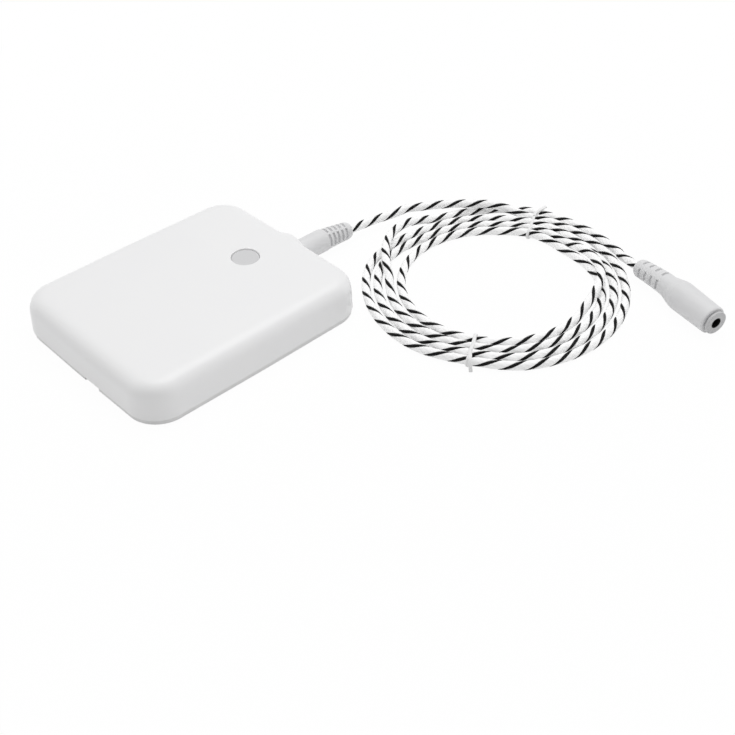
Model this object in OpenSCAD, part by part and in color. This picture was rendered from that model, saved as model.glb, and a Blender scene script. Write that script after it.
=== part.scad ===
// Water leak sensor: a flat housing with a button on top, four cells and a circuit board inside,
// and a coiled sensing cord with a plug at one end and an extension socket at the other.
// Millimetres. +Z is up, the floor is z = 0 and the plug leaves the housing towards +X.

/* [Housing] */
// Length along X at the lower edge
body_l = 95; // [94:1:106]
// Width along Y at the lower edge
body_w = 79; // [76:1:90]
// Height of the top face above the floor
body_h = 15.6; // [15.4:0.1:17]
// Plan radius of the corners
corner_r = 11.7; // [11:0.1:13]
// Radius of the rounded top edge
top_fillet = 5; // [4:0.1:5.2]
// Lean of the side walls from upright, in degrees
draft = 3; // [1.5:0.5:3.5]
// Thickness of the side walls
wall_t = 2; // [1.8:0.1:2.2]
// Thickness of the top wall
top_t = 1.8; // [1.5:0.1:1.9]
// Radius of the round pad about the jack
pad_r = 9.7; // [8:0.1:9.9]
// How far the pad stands out from the foot of the wall
pad_out = 0.6; // [0.4:0.1:1]

/* [Bottom cover] */
// Height of the feet under the cover
foot_h = 0.6; // [0.4:0.1:0.8]
// Thickness of the cover plate
cover_t = 1.8; // [1.6:0.1:2]
// How far the cover's edge lies inside the housing's edge
cover_inset = 0.9; // [0.6:0.1:1]
// Open joint between cover and housing
part_gap = 0.1; // [0.1:0.05:0.2]
// Height of the skirt inside the housing
skirt_h = 2.5; // [1.5:0.1:2.6]
// Thickness of the skirt
skirt_t = 1.2; // [0.8:0.1:1.4]
// Clearance of the skirt inside the walls
skirt_gap = 0.3; // [0.25:0.05:0.5]
// Width of the notch that a fingernail lifts the cover by
notch_w = 7.4; // [5:0.1:9]
// Place of that notch along Y
notch_y = -5.5; // [-8:0.5:8]
// Radius of a rubber foot
foot_r = 4; // [3:0.1:5]
// Depth of the seat of a foot in the cover
foot_seat = 0.5; // [0.3:0.1:0.6]

/* [Button] */
// Radius of the button
button_r = 5; // [4.5:0.1:5.3]
// Clearance round the button
button_gap = 0.2; // [0.15:0.05:0.3]
// Depth of the button's face below the top
button_sink = 0.4; // [0.2:0.1:0.6]
// Travel of the button
button_travel = 0.4; // [0.2:0.1:0.5]
// Distance of the button from the housing's middle
button_x = 24.4; // [23:0.2:25]

/* [Board and jack] */
// Height of the jack's axis above the floor
jack_z = 5.4; // [5.3:0.1:5.5]
// Radius of the jack's bore
jack_bore_r = 1.8; // [1.79:0.01:1.84]
// Height and width of the jack's body
jack_w = 5.4; // [5.2:0.1:5.5]
// Radius of the jack's nose
nose_r = 2.5; // [2.4:0.1:2.6]
// Clearance round the nose
nose_gap = 0.1; // [0.05:0.05:0.2]
// Thickness of the circuit board
board_t = 1.6; // [1.2:0.1:1.6]
// Width of the circuit board along Y
board_w = 56; // [54:1:58]
// Radius of a screw's shank
screw_r = 0.95; // [0.8:0.05:1]
// Clearance of a screw in its post
screw_gap = 0.05; // [0.05:0.05:0.1]

/* [Cells] */
// Diameter of a cell
cell_d = 10.5; // [10.3:0.1:10.5]
// Length of a cell with its knob
cell_l = 44.5; // [44:0.1:44.5]
// Spacing of the cells
cell_pitch = 11; // [10.8:0.1:11.4]
// Thickness of the tray's walls
tray_t = 1.2; // [1:0.1:1.4]
// Thickness of the contact strip
strip_t = 0.4; // [0.3:0.1:0.5]
// Rise of a contact's sprung bow
bow_h = 2; // [1.6:0.1:2.2]

/* [Plug] */
// Radius of the plug's grip
grip_r = 4.45; // [4.4:0.05:5]
// Length of the plug's grip up to its strain relief
grip_l = 13.8; // [13:0.2:16]
// Length of the plug's strain relief
bend_l = 13; // [12:0.1:15]
// Radius of that strain relief at the grip
bend_r0 = 4.2; // [4:0.05:4.3]
// Radius of that strain relief at the cord
bend_r1 = 3.3; // [3.1:0.05:3.6]
// Radius of the plug's pin
pin_r = 1.75; // [1.72:0.01:1.76]
// Length of the plug's pin
pin_l = 14; // [12:0.5:14]
// Spacing of the slots along the strain relief
slot_pitch = 2.13; // [1.9:0.01:2.2]
// Width of a slot
slot_w = 0.9; // [0.5:0.1:1]
// Depth of a slot
slot_depth = 0.9; // [0.4:0.1:0.9]

/* [Cord] */
// Diameter of the sensing cord
cord_d = 3.3; // [3:0.1:3.3]
// Radius of the coil's outer full loop, on the cord's middle line
coil_r = 47.5; // [46:0.5:50]
// Spacing of neighbouring loops
coil_step = 4.3; // [4.2:0.1:4.6]
// How much longer the coil is along X than along Y, as a share
coil_oval = 0.02; // [0:0.01:0.04]
// Width of a tie band
tie_w = 1.3; // [1:0.1:2]
// Thickness of a tie band
tie_t = 0.6; // [0.4:0.1:0.7]
// Clearance of a tie round the cord
tie_gap = 0.3; // [0.2:0.1:0.5]

/* [Extension socket] */
// Radius of the socket's barrel where it is thickest
socket_r = 5.6; // [5.4:0.1:6]
// Radius of the socket's barrel at the front
front_r = 5.2; // [5:0.1:5.4]
// Length of the socket's grip
socket_l = 40; // [39:0.2:44]
// Length of the tapered strain relief
relief_l = 15.6; // [15:0.1:17]
// Radius of the strain relief at the cord
relief_r0 = 3.5; // [3.2:0.1:3.8]
// Radius of the strain relief at the flare
relief_r1 = 4.1; // [3.9:0.05:4.2]
// Length of the flare
flare_l = 7.5; // [6.5:0.1:8.5]
// Radius of the front disc
disc_r = 4.4; // [4:0.1:4.6]
// Thickness of the front disc
disc_t = 0.9; // [0.7:0.1:1.2]
// Open groove behind the front disc
disc_gap = 0.7; // [0.4:0.1:1]
// Radius of the socket's bore
socket_bore_r = 1.8; // [1.78:0.01:1.84]
// Depth of the socket's bore
socket_bore_l = 15; // [14:0.5:16]

/* [Hidden] */
$fn = 48;
body_x = -pad_out / 2;
axis_x = body_l / 2 - corner_r;
axis_y = body_w / 2 - corner_r;
cover_top = foot_h + cover_t;
shell_z0 = cover_top + part_gap;
ceiling = body_h - top_t;
in_fillet = top_fillet - top_t;
pad_x = body_x + body_l / 2 + pad_out;
in_x1 = body_x + body_l / 2 - wall_t;
past = 1;
blend = 0.01;

seal_in = 0.2;
seal_w = 0.7;
seal_depth = 0.5;
foot_x = axis_x;
foot_y = axis_y;
notch_in = 0.4;

hole_r = button_r + button_gap;
press_x = body_x + button_x;
flange_t = 0.6;
flange_lip = 1;
flange_gap = 0.2;
flange_r = hole_r + flange_lip;
flange_z1 = ceiling - flange_gap;
flange_z0 = flange_z1 - flange_t;

tray_in = 2;
tray_x0 = body_x - body_l / 2 + wall_t + tray_in;
bay_x0 = tray_x0 + tray_t;
cell_gap = 0.1;
bay_x1 = bay_x0 + 2 * strip_t + cell_l + bow_h + cell_gap;
tray_x1 = bay_x1 + tray_t;
cell_r = cell_d / 2;
cell_lift = 0.35;
cell_z = cover_top + cell_lift + cell_r;
cell_ys = [-1.5 * cell_pitch, -0.5 * cell_pitch, 0.5 * cell_pitch, 1.5 * cell_pitch];
knob_r = 1.9;
knob_l = 1;
tray_gap = 0.25;
tray_y = cell_ys[3] + cell_r + tray_gap;
tray_z0 = cover_top + skirt_h + skirt_gap;
rib_rise = 1.2;
rib_z0 = cell_z + rib_rise;
tray_z1 = cell_z + cell_r - tray_gap;
strip_gap = 0.2;
strip_z1 = rib_z0 - strip_gap;
strip_w = 8;
ear_w = 6;
ear_t = 2;
ear_in = 12;
ear_xs = [tray_x0 + ear_in, tray_x1 - ear_in];
ear_y = tray_y + tray_t + ear_w / 2;
tab_w = 4;
tab_gap = 0.2;
tab_reach = 4;

board_z0 = jack_z + jack_w / 2;
board_z1 = board_z0 + board_t;
ear_z0 = board_z1 - ear_t;
tray_space = 2.3;
wall_space = 0.9;
board_x0 = tray_x1 + tray_space;
board_x1 = in_x1 - wall_space;
hole_in = 3;
post_r = 2.5;
screw_head_r = 1.9;
screw_head_t = 1.3;
screw_reach = 3;
screw_tip = 0.3;
hole_gap = 0.2;
board_hole_r = screw_r + hole_gap;
switch_w = 6.2;
switch_h = 2.4;
plunger_r = 1.65;
plunger_gap = 0.1;
plunger_in = 0.8;
plunger_space = 0.2;
led_size = [3.2, 1.6, 1.1];
led_space = 0.8;
radio_size = [20, 15, 0.8];
radio_in = 5.8;
radio_space = 3.4;
can_size = [14, 13, 2.2];
can_in = 5;
chip_size = [7, 7, 0.9];
chip_in = 9.2;
chip_space = 6;
cap_r = 3.15;
cap_h = 3.4;
cap_in = 7.8;
cap_gap = 1.5;
jack_space = 0.6;
jack_x1 = in_x1 - jack_space;
jack_l = 12.6;
nose_sink = 0.3;
nose_in = 0.2;
tip_space = 0.2;
bore_l = pin_l + tip_space;
pins_x = [2, 6, 10];
pins_y = 2;
solder_r = 0.4;
solder_gap = 0.1;
solder_rise = 0.6;

grip_space = 0.2;
grip_x = pad_x + grip_space;
sleeve_l = 8.5;
collar_l = 1;
core_r = 0.6;
tube_r = 1;
fit = 0.05;
sleeve_in = 6;
tip_r = 0.7;
tip_cone = 1.4;
tip_land = 0.5;
waist_r = 1.3;
waist_l = 1.4;
core_in = 1;
end_round = 0.9;
bend_down = 4;
bend_side = 4.25;
bend_p = [grip_x + grip_l, 0, jack_z];
bend_dir = [cos(bend_down) * cos(bend_side), -cos(bend_down) * sin(bend_side), -sin(bend_down)];
bend_end = bend_p + bend_l * bend_dir;
slot_first = 0.78;
slot_rows = 5;
slot_arc = 74;
slot_turn = 75;

socket_p = [135.73765, -94.0523];
socket_a = -105;
socket_z = socket_r;
socket_dir = [cos(socket_a), sin(socket_a), 0];
neck_r = 3.4;
neck_in = 16.5;
lug_r = 1;
lug_l = 6;
relief_down = 6;
relief_step = 0.15;
relief_p = [socket_p[0], socket_p[1], socket_z] + relief_l * socket_dir;
relief_dir = cos(relief_down) * socket_dir + [0, 0, sin(relief_down)];
relief_end = relief_p - relief_l * relief_dir;
flare_ease = 0.2;
relief_pitch = 3.28;
relief_first = 4.1;
relief_rows = 4;
relief_arc = 54;
relief_turn = 6;

// The coil runs clockwise seen from above, in four lanes counted from the outside, one lane further in at each
// pass. At the front the third pass crosses over the fourth. At the back left the fourth crosses over the outer
// two on its way out, and then leaves under the stretch that comes in from the plug. Each pair of angles says
// where a change of lane or of height begins and ends.
coil_c = [92, -61.5];
start_a = 75;
end_a = -16;
turns = 4;
sweep_a = start_a - end_a + 360 * turns;
back_lanes = [1, 2, 3, 4, 1];
front_lanes = [1, 2, 4, 3, 0];
inward_a = [126, 78];
outward_a = [138, 92];
leave_a = [70, 25];
cross_in_a = [-35, -80];
cross_out_a = [5, -55];
entry_r = 5.8;
entry_a = 45;
entry_down_a = [46, 20];
cross_up_a = [4, -30];
cross_down_a = [-54, -88];
over_up_a = [150, 122];
over_down_a = [92, 66];
mid_lane = 2.5;
tie_draw = 0.13;
front_tie_a = -150.5;
rear_tie_a = 16;
tie_lift = tie_t + 0.1;
tie_spread = 28;
tie_round = 1.6;
tie_in_round = 1;
tail_in = 1.5;
front_tail = 8;
front_tail_a = 115;
rear_tail = 5;
rear_tail_a = 150;
loop_rings = 24;

function unit(v) = v / norm(v);
function clamp(v) = min(1, max(0, v));
function smooth(v) = let (c = clamp(v)) c * c * (3 - 2 * c);
function turned(a) = let (b = (a + 180) % 360) (b < 0 ? b + 360 : b) - 180;
function lane_r(lane) = coil_r - (lane - 1) * coil_step;
function drawn(r, share) = r + (lane_r(mid_lane) - r) * tie_draw * share;
function bump(a) = abs(a) < tie_spread ? pow(cos(90 * a / tie_spread), 2) : 0;
function tied(a) = bump(turned(a - front_tie_a)) + bump(turned(a - rear_tie_a));
function eased(a, from_to) = smooth((from_to[0] - a) / (from_to[0] - from_to[1]));

// How many times the winding has come round to the front after s degrees
function passes(s) = floor((s - start_a + 85 + 180) / 360);

// Distance of pass m from the coil's middle at an angle, before the ties draw the loops together
function pass_r(m, a) =
    let (
        before = lane_r(front_lanes[max(m - 1, 0)]),
        back = lane_r(back_lanes[m]),
        front = lane_r(front_lanes[m])
    )
    m == 0 ? coil_r + entry_r * pow(1 - clamp((start_a - a) / entry_a), 2)
           : before + (back - before) * eased(a, m == turns ? outward_a : inward_a)
             + (front - back) * eased(a, m == turns ? leave_a : m == turns - 1 ? cross_out_a : cross_in_a);

// Share of the full arch that pass m has at an angle
function pass_up(m, a) =
    m == 0 ? 1 - eased(a, entry_down_a)
    : m == turns - 2 ? eased(a, cross_up_a) - eased(a, cross_down_a)
    : m == turns ? eased(a, over_up_a) - eased(a, over_down_a)
    : 0;

// The cord's middle line after s degrees: on the floor, lifted and drawn together at the ties, arched at crossings
function wind(s) =
    let (
        m = passes(s),
        a = start_a - s + 360 * m,
        r = drawn(pass_r(m, a), tied(a)),
        z = max(tie_lift * tied(a), (jack_z - cord_d / 2) * pass_up(m, a))
    )
    [coil_c[0] + (1 + coil_oval) * r * cos(a), coil_c[1] + r * sin(a), cord_d / 2 + z];

coil_in = unit(wind(1) - wind(0));
coil_out = unit(wind(sweep_a) - wind(sweep_a - 1));
coil_p0 = wind(0) - cord_d * coil_in;
coil_p1 = wind(sweep_a) + cord_d * coil_out;
coil_n = floor(sweep_a * loop_rings / 360);
coil_pts = concat([coil_p0], [for (i = [0:coil_n]) wind(i * sweep_a / coil_n)], [coil_p1]);

lead_pts = concat(
    [
        bend_end,
        bend_end + cord_d * bend_dir,
        [86.8, -2.5, 4.2],
        [91.5, -4, 4.5],
        [96, -5.8, 5]
    ],
    [coil_p0 - cord_d * coil_in, coil_p0]
);
tail_pts = concat(
    [coil_p1, coil_p1 + cord_d * coil_out],
    [[139.6, -83.6, 2.1], [138.2, -86.6, 2.9]],
    [relief_end - cord_d * relief_dir, relief_end]
);

function path_l(p) = len(p) < 2 ? 0 : [for (i = 1, t = norm(p[1] - p[0]); i < len(p);
    i = i + 1, t = t + (i < len(p) ? norm(p[i] - p[i - 1]) : 0)) t][len(p) - 2];

gap_step = 6;
gap_pts = [for (s = [0:gap_step:sweep_a]) wind(s)];
gap_skip = 60 / gap_step;
least = min([
    for (i = [0:len(gap_pts) - 1])
        for (j = [i + gap_skip:1:len(gap_pts) - 1])
            norm(gap_pts[i] - gap_pts[j])
]);
echo(least_gap_of_the_coil = least - cord_d);
echo(cord_length = path_l(lead_pts) + path_l(coil_pts) + path_l(tail_pts));

function tangents(p) = [
    for (i = [0:len(p) - 1]) unit(p[min(i + 1, len(p) - 1)] - p[max(i - 1, 0)])
];

function ring_at(p, t, r, n) =
    let (s = unit(cross(t, [0, 0, 1])), u = cross(s, t))
    [for (i = [0:n - 1]) p + r * (cos(90 + 360 * i / n) * s + sin(90 + 360 * i / n) * u)];

// A closed round tube of n sides along the points p
module tube(p, r, n) {
    t = tangents(p);
    m = len(p);
    pts = [for (k = [0:m - 1]) each ring_at(p[k], t[k], r, n)];
    sides = [
        for (k = [0:m - 2], i = [0:n - 1])
            let (a = k * n + i, b = k * n + (i + 1) % n)
            each [[a, b, b + n], [a, b + n, a + n]]
    ];
    first = [[for (i = [n - 1:-1:0]) i]];
    last = [[for (i = [0:n - 1]) (m - 1) * n + i]];
    polyhedron(points = pts, faces = concat(first, sides, last), convexity = 12);
}

// The housing's plan, grown from the four corner axes by reach
module plan(reach) {
    square([2 * (axis_x + reach), 2 * axis_y], center = true);
    square([2 * axis_x, 2 * (axis_y + reach)], center = true);
    for (sx = [-1, 1], sy = [-1, 1])
        translate([sx * axis_x, sy * axis_y])
            circle(reach);
}

// Upright section of a block from a corner axis outwards: a drafted side and a filleted top edge
module edge_section(reach, z0, z1, fillet) {
    cz = z1 - fillet;
    cx = reach - fillet - (cz - z0) * tan(draft);
    polygon([
        [0, z0],
        [reach, z0],
        [cx + fillet - blend, cz],
        [cx, cz],
        [cx, z1],
        [0, z1]
    ]);
    translate([cx, cz])
        circle(fillet);
}

// A block with the housing's plan at z0, drafted sides and a filleted top edge at z1
module soft_block(reach, z0, z1, fillet) {
    translate([-axis_x, -axis_y, z0])
        cube([2 * axis_x, 2 * axis_y, z1 - z0]);
    for (q = [0:3]) {
        sx = q == 0 || q == 3 ? 1 : -1;
        sy = q < 2 ? 1 : -1;
        translate([sx * axis_x, sy * axis_y, 0])
            rotate([0, 0, 90 * q])
                rotate_extrude(angle = 90)
                    edge_section(reach, z0, z1, fillet);
    }
    for (side = [0, 180]) {
        rotate([0, 0, side])
            translate([axis_x, axis_y, 0])
                rotate([90, 0, 0])
                    linear_extrude(2 * axis_y)
                        edge_section(reach, z0, z1, fillet);
        rotate([0, 0, side])
            translate([-axis_x, axis_y, 0])
                rotate([0, 0, 90])
                    rotate([90, 0, 0])
                        linear_extrude(2 * axis_x)
                            edge_section(reach, z0, z1, fillet);
    }
}

// Cylinder along +X from x0 to x1 about the line through y and z
module x_rod(x0, x1, r, y, z) {
    translate([x0, y, z])
        rotate([0, 90, 0])
            cylinder(r = r, h = x1 - x0);
}

module board_places() {
    for (x = [board_x0 + hole_in, board_x1 - hole_in], sy = [-1, 1])
        translate([x, sy * (board_w / 2 - hole_in), 0])
            children();
}

module ear_places() {
    for (x = ear_xs, sy = [-1, 1])
        translate([x, sy * ear_y, 0])
            children();
}

module post(z0) {
    translate([0, 0, z0])
        difference() {
            cylinder(r = post_r, h = ceiling - z0 + past / 2);
            translate([0, 0, -past])
                cylinder(r = screw_r + screw_gap, h = screw_reach + screw_tip + past);
        }
}

module screw(z_seat, clamped) {
    translate([0, 0, z_seat - screw_head_t])
        cylinder(r = screw_head_r, h = screw_head_t);
    translate([0, 0, z_seat])
        cylinder(r = screw_r, h = clamped + screw_reach);
}

module top_shell() {
    grow = past * tan(draft);
    color("whitesmoke") {
        difference() {
            union() {
                translate([body_x, 0, 0])
                    soft_block(corner_r, shell_z0, body_h, top_fillet);
                intersection() {
                    x_rod(pad_x - 2 * pad_r, pad_x, pad_r, 0, jack_z);
                    translate([0, -body_w / 2, shell_z0])
                        cube([body_l, body_w, body_h]);
                }
            }
            translate([body_x, 0, 0])
                soft_block(corner_r - wall_t + grow, shell_z0 - past, ceiling, in_fillet);
            translate([press_x, 0, ceiling - past])
                cylinder(r = hole_r, h = top_t + 2 * past);
            x_rod(in_x1 - 2 * past, pad_x + past, nose_r + nose_gap, 0, jack_z);
        }
        board_places()
            post(board_z1);
        ear_places()
            post(board_z1);
    }
}

module button_cap() {
    color("gainsboro")
        translate([press_x, 0, 0]) {
            translate([0, 0, flange_z0])
                cylinder(r = flange_r, h = flange_t);
            translate([0, 0, flange_z0])
                cylinder(r = button_r, h = body_h - button_sink - flange_z0);
        }
}

module switch_body() {
    color("dimgray")
        translate([press_x, 0, board_z1])
            difference() {
                translate([-switch_w / 2, -switch_w / 2, 0])
                    cube([switch_w, switch_w, switch_h]);
                translate([0, 0, switch_h - plunger_in - button_travel - plunger_space])
                    cylinder(r = plunger_r + plunger_gap, h = switch_h);
            }
}

module switch_plunger() {
    color("black")
        translate([press_x, 0, board_z1 + switch_h - plunger_in])
            cylinder(r = plunger_r, h = flange_z0 - board_z1 - switch_h + plunger_in);
}

module status_led() {
    color("ivory")
        translate([press_x - led_size[0] / 2, switch_w / 2 + led_space, board_z1])
            cube(led_size);
}

module circuit_board() {
    color("seagreen")
        difference() {
            translate([board_x0, -board_w / 2, board_z0])
                cube([board_x1 - board_x0, board_w, board_t]);
            board_places()
                translate([0, 0, board_z0 - past])
                    cylinder(r = board_hole_r, h = board_t + 2 * past);
            solder_places()
                translate([0, 0, board_z0 - past])
                    cylinder(r = solder_r + solder_gap, h = board_t + 2 * past);
        }
}

module radio_board() {
    color("darkgreen")
        translate([board_x0 + radio_in, -switch_w / 2 - radio_space - radio_size[1], board_z1])
            cube(radio_size);
}

module shield_can() {
    can_y = -switch_w / 2 - radio_space - (radio_size[1] + can_size[1]) / 2;
    color("silver")
        translate([board_x0 + radio_in + can_in, can_y, board_z1 + radio_size[2]])
            cube(can_size);
}

module control_chip() {
    color("black")
        translate([board_x1 - chip_in - chip_size[0], switch_w / 2 + chip_space, board_z1])
            cube(chip_size);
}

module storage_capacitor() {
    cap_y = switch_w / 2 + chip_space + chip_size[1] + cap_gap + cap_r;
    color("gray")
        translate([board_x0 + cap_in, cap_y, board_z1])
            cylinder(r = cap_r, h = cap_h);
}

module jack_body() {
    color("black")
        difference() {
            union() {
                translate([jack_x1 - jack_l, -jack_w / 2, jack_z - jack_w / 2])
                    cube([jack_l, jack_w, jack_w]);
                x_rod(jack_x1 - nose_in, pad_x - nose_sink, nose_r, 0, jack_z);
            }
            x_rod(pad_x - nose_sink - bore_l, pad_x + past, jack_bore_r, 0, jack_z);
        }
}

module solder_places() {
    for (x = pins_x, sy = [-1, 1])
        translate([jack_x1 - jack_l + x, sy * pins_y, 0])
            children();
}

module jack_pins() {
    color("gold")
        solder_places()
            translate([0, 0, board_z0])
                cylinder(r = solder_r, h = board_t + solder_rise);
}

module board_screws() {
    color("silver")
        board_places()
            screw(board_z0, board_t);
}

module battery_tray() {
    color("white")
        difference() {
            union() {
                for (x = [tray_x0, bay_x1])
                    translate([x, -tray_y - tray_t, tray_z0])
                        cube([tray_t, 2 * (tray_y + tray_t), tray_z1 - tray_z0]);
                for (y = [-tray_y - tray_t, tray_y])
                    translate([tray_x0, y, tray_z0])
                        cube([tray_x1 - tray_x0, tray_t, tray_z1 - tray_z0]);
                translate([tray_x0, -tray_y - tray_t / 2, rib_z0])
                    cube([tray_x1 - tray_x0, 2 * tray_y + tray_t, tray_z1 - rib_z0]);
                for (x = ear_xs, sy = [-1, 1])
                    translate([x - ear_w / 2, sy * ear_y - ear_w / 2 - past / 2, ear_z0])
                        cube([ear_w, ear_w + past, ear_t]);
            }
            for (y = cell_ys)
                x_rod(bay_x0, bay_x1, cell_r + cell_gap, y, cell_z);
            for (sy = [-1, 1])
                translate([
                    bay_x1 - past,
                    sy * cell_ys[3] - tab_w / 2 - tab_gap,
                    board_z0 - strip_t - tab_gap
                ])
                    cube([tray_t + 2 * past, tab_w + 2 * tab_gap, strip_t + 2 * tab_gap]);
            ear_places()
                translate([0, 0, ear_z0 - past])
                    cylinder(r = board_hole_r, h = ear_t + 2 * past);
        }
}

module tray_screws() {
    color("silver")
        ear_places()
            screw(ear_z0, ear_t);
}

// A cell along X; turn is 1 with its knob towards +X and -1 with its knob towards -X
module cell(y, turn) {
    x_mid = (bay_x0 + bay_x1) / 2 + turn * (bow_h / 2);
    translate([x_mid, y, cell_z])
        rotate([0, 90 * turn, 0]) {
            translate([0, 0, -cell_l / 2])
                cylinder(r = cell_r, h = cell_l - knob_l);
            translate([0, 0, cell_l / 2 - knob_l - past])
                cylinder(r = knob_r, h = knob_l + past);
        }
}

module battery_1() {
    color("slategray")
        cell(cell_ys[0], 1);
}

module battery_2() {
    color("slategray")
        cell(cell_ys[1], -1);
}

module battery_3() {
    color("slategray")
        cell(cell_ys[2], 1);
}

module battery_4() {
    color("slategray")
        cell(cell_ys[3], -1);
}

// A flat contact strip on a tray wall, from y0 to y1; x is its face on the wall
module strip(x, inward, y0, y1) {
    translate([inward > 0 ? x : x - strip_t, y0, tray_z0])
        cube([strip_t, y1 - y0, strip_z1 - tray_z0]);
}

// The sprung bow that presses on a cell's flat end
module bow(x, inward, y) {
    half = strip_w / 2;
    r = (half * half + bow_h * bow_h) / (2 * bow_h);
    face = x + inward * strip_t;
    intersection() {
        translate([face + inward * (bow_h - r), y, tray_z0])
            difference() {
                cylinder(r = r, h = strip_z1 - tray_z0);
                translate([0, 0, -past])
                    cylinder(r = r - strip_t, h = strip_z1 - tray_z0 + 2 * past);
            }
        translate([inward > 0 ? face - strip_t / 2 : face - bow_h - past, y - strip_w, tray_z0 - past])
            cube([bow_h + past + strip_t / 2, 2 * strip_w, cell_d]);
    }
}

module far_bridges() {
    color("silver")
        for (pair = [0, 2]) {
            strip(bay_x0, 1, cell_ys[pair] - strip_w / 2, cell_ys[pair + 1] + strip_w / 2);
            bow(bay_x0, 1, cell_ys[pair]);
        }
}

module near_bridge() {
    color("silver") {
        strip(bay_x1, -1, cell_ys[1] - strip_w / 2, cell_ys[2] + strip_w / 2);
        bow(bay_x1, -1, cell_ys[1]);
    }
}

module terminals() {
    color("silver") {
        for (y = [cell_ys[0], cell_ys[3]]) {
            strip(bay_x1, -1, y - strip_w / 2, y + strip_w / 2);
            translate([bay_x1 - strip_t, y - tab_w / 2, board_z0 - strip_t])
                cube([board_x0 + tab_reach - bay_x1, tab_w, strip_t]);
        }
        bow(bay_x1, -1, cell_ys[3]);
    }
}

module bottom_cover() {
    skirt_r = corner_r - wall_t - skirt_gap;
    color("gainsboro")
        translate([body_x, 0, 0])
            difference() {
                union() {
                    translate([0, 0, foot_h])
                        linear_extrude(cover_t)
                            plan(corner_r - cover_inset);
                    translate([0, 0, cover_top - past / 2])
                        linear_extrude(skirt_h + past / 2)
                            difference() {
                                plan(skirt_r);
                                plan(skirt_r - skirt_t);
                            }
                }
                translate([0, 0, cover_top - seal_depth])
                    linear_extrude(seal_depth + past / 4)
                        seal_plan();
                for (sx = [-1, 1], sy = [-1, 1])
                    translate([sx * foot_x, sy * foot_y, foot_h - past])
                        cylinder(r = foot_r + fit, h = foot_seat + past);
                translate([axis_x, -pad_r, cover_top])
                    cube([body_l / 2, 2 * pad_r, skirt_h + past]);
                translate([-body_l / 2 - past, notch_y - notch_w / 2, foot_h - past])
                    cube([past + cover_inset + notch_in, notch_w, cover_t + past - seal_depth]);
            }
}

// Track of the seal, under the lower edge of the housing's wall
module seal_plan() {
    difference() {
        plan(corner_r - wall_t + seal_in + seal_w);
        plan(corner_r - wall_t + seal_in);
    }
}

module cover_seal() {
    color("dimgray")
        translate([body_x, 0, cover_top - seal_depth])
            linear_extrude(seal_depth + part_gap / 2)
                seal_plan();
}

module rubber_feet() {
    color("darkgray")
        for (sx = [-1, 1], sy = [-1, 1])
            translate([body_x + sx * foot_x, sy * foot_y, 0])
                cylinder(r = foot_r, h = foot_h + foot_seat);
}

// The plug's grip, whose strain relief the cord bends a little down and aside
module plug_grip() {
    color("lightgray")
        difference() {
            union() {
                x_rod(grip_x, bend_p[0], grip_r, 0, jack_z);
                translate(bend_p)
                    rotate([0, 90 + bend_down, -bend_side])
                        relief(bend_l, bend_r0, bend_r1);
            }
            x_rod(grip_x - past, grip_x + sleeve_in + fit, pin_r + fit, 0, jack_z);
            translate(bend_p)
                rotate([0, 90 + bend_down, -bend_side])
                    slots(slot_first, slot_pitch, slot_rows, slot_turn, slot_arc, bend_l, bend_r0, bend_r1);
        }
}

// A tapered strain relief along +Z, rooted below z = 0, with a rounded end at the cord
module relief(l, r0, r1) {
    rotate_extrude()
        polygon([
            [0, -past],
            [r0, -past],
            [r0, 0],
            [r1, l - end_round],
            [r1 - end_round / 3, l - end_round / 3],
            [r1 - end_round, l],
            [0, l]
        ]);
}

// Rows of four slots across a strain relief of length l that tapers from r0 to r1
module slots(first, pitch, rows, turn, arc, l, r0, r1) {
    for (k = [0:rows - 1], q = [0:3]) {
        d = first + k * pitch;
        r = r0 + (r1 - r0) * d / l;
        translate([0, 0, d - slot_w / 2])
            rotate([0, 0, turn + 90 * q - arc / 2])
                rotate_extrude(angle = arc)
                    translate([r - slot_depth, 0])
                        square([slot_depth + past, slot_w]);
    }
}

module plug_sleeve() {
    color("gold")
        difference() {
            x_rod(grip_x - sleeve_l, grip_x + sleeve_in, pin_r, 0, jack_z);
            x_rod(grip_x - sleeve_l - past, grip_x + sleeve_in + past, tube_r + fit, 0, jack_z);
        }
}

module plug_insulator() {
    color("black")
        difference() {
            union() {
                x_rod(grip_x - sleeve_l - collar_l, grip_x - sleeve_l, pin_r, 0, jack_z);
                x_rod(grip_x - sleeve_l - collar_l / 2, grip_x + sleeve_in, tube_r, 0, jack_z);
            }
            x_rod(grip_x - sleeve_l - collar_l - past, grip_x + sleeve_in + past, core_r + fit, 0, jack_z);
        }
}

module plug_tip() {
    tip_l = pin_l - sleeve_l - collar_l;
    color("gold")
        translate([grip_x - pin_l, 0, jack_z])
            rotate([0, 90, 0])
                rotate_extrude()
                    polygon([
                        [0, 0],
                        [tip_r, 0],
                        [pin_r, tip_cone],
                        [pin_r, tip_cone + tip_land],
                        [waist_r, tip_cone + tip_land + waist_l / 2],
                        [pin_r, tip_cone + tip_land + waist_l],
                        [pin_r, tip_l],
                        [core_r, tip_l],
                        [core_r, pin_l + sleeve_in - core_in],
                        [0, pin_l + sleeve_in - core_in]
                    ]);
}

module cord_lead() {
    color("white")
        tube(lead_pts, cord_d / 2, 8);
}

module cord_coil() {
    color("white")
        tube(coil_pts, cord_d / 2, 6);
}

module cord_tail() {
    color("white")
        tube(tail_pts, cord_d / 2, 8);
}

module rounded_bar(w, h, r) {
    translate([r, 0])
        square([w - 2 * r, h]);
    translate([0, r])
        square([w, h - 2 * r]);
    for (x = [r, w - r], y = [r, h - r])
        translate([x, y])
            circle(r);
}

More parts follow.
